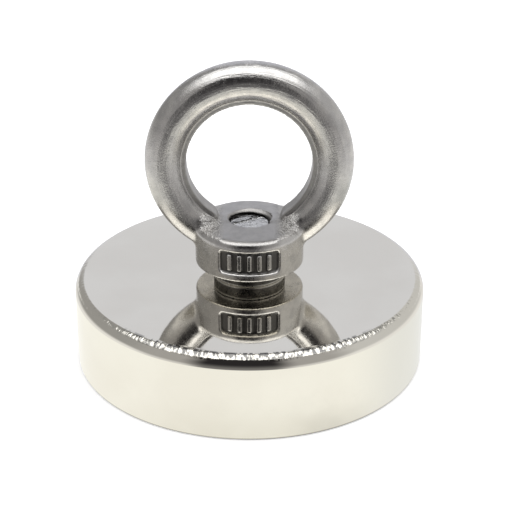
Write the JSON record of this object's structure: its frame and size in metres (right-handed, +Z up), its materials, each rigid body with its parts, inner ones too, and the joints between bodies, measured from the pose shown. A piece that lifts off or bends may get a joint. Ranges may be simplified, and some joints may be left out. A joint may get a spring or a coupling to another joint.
{
  "type": "magnet fishing magnet",
  "caption": "Round nickel-plated pot magnet with a cast eye nut screwed on a central countersunk screw, for retrieval on a rope.",
  "frame": {"origin": "centre of the magnet face, in the plane of the pot's steel rim", "axes": "+Z up along the screw, from the magnet face to the eye; +Y along the opening of the eye, with the nut's sunk panel facing -Y; +X across the eye"},
  "size_m": [0.06, 0.06, 0.053],
  "materials": {
    "nickel_plate": "mirror nickel plating over turned mild steel",
    "magnet_plate": "satin nickel plating over sintered neodymium magnet",
    "adhesive": "cured two-part adhesive",
    "potting_resin": "cured black potting resin",
    "zinc_screw": "zinc-plated machined steel",
    "spring_steel": "dull stainless spring steel",
    "cast_stainless": "investment-cast stainless steel, tumbled to a soft polish, with a blasted land inside the eye"
  },
  "bodies": {
    "magnet_assembly": {"steel_pot": "nickel_plate", "ring_magnet": "magnet_plate", "adhesive_film": "adhesive", "outer_resin_ring": "potting_resin", "inner_resin_ring": "potting_resin", "countersunk_bush": "nickel_plate", "countersunk_screw": "zinc_screw"},
    "washer": {"spring_washer": "spring_steel"},
    "nut": {"eye_nut": "cast_stainless"}
  },
  "joints": [
    {"name": "washer_climb", "type": "slide", "parent": "magnet_assembly", "child": "washer", "axis": [0, 0, 1], "range_m": [0, 0.00564]},
    {"name": "eye_nut_turn", "type": "hinge", "parent": "washer", "child": "nut", "pos_m": [0, 0, 0.0174], "axis": [0, 0, 1], "range_deg": [0, 1620]}
  ],
  "couplings": [
    {"joint": "washer_climb", "follows": "eye_nut_turn", "m_per_rad": 0.00019894}
  ]
}
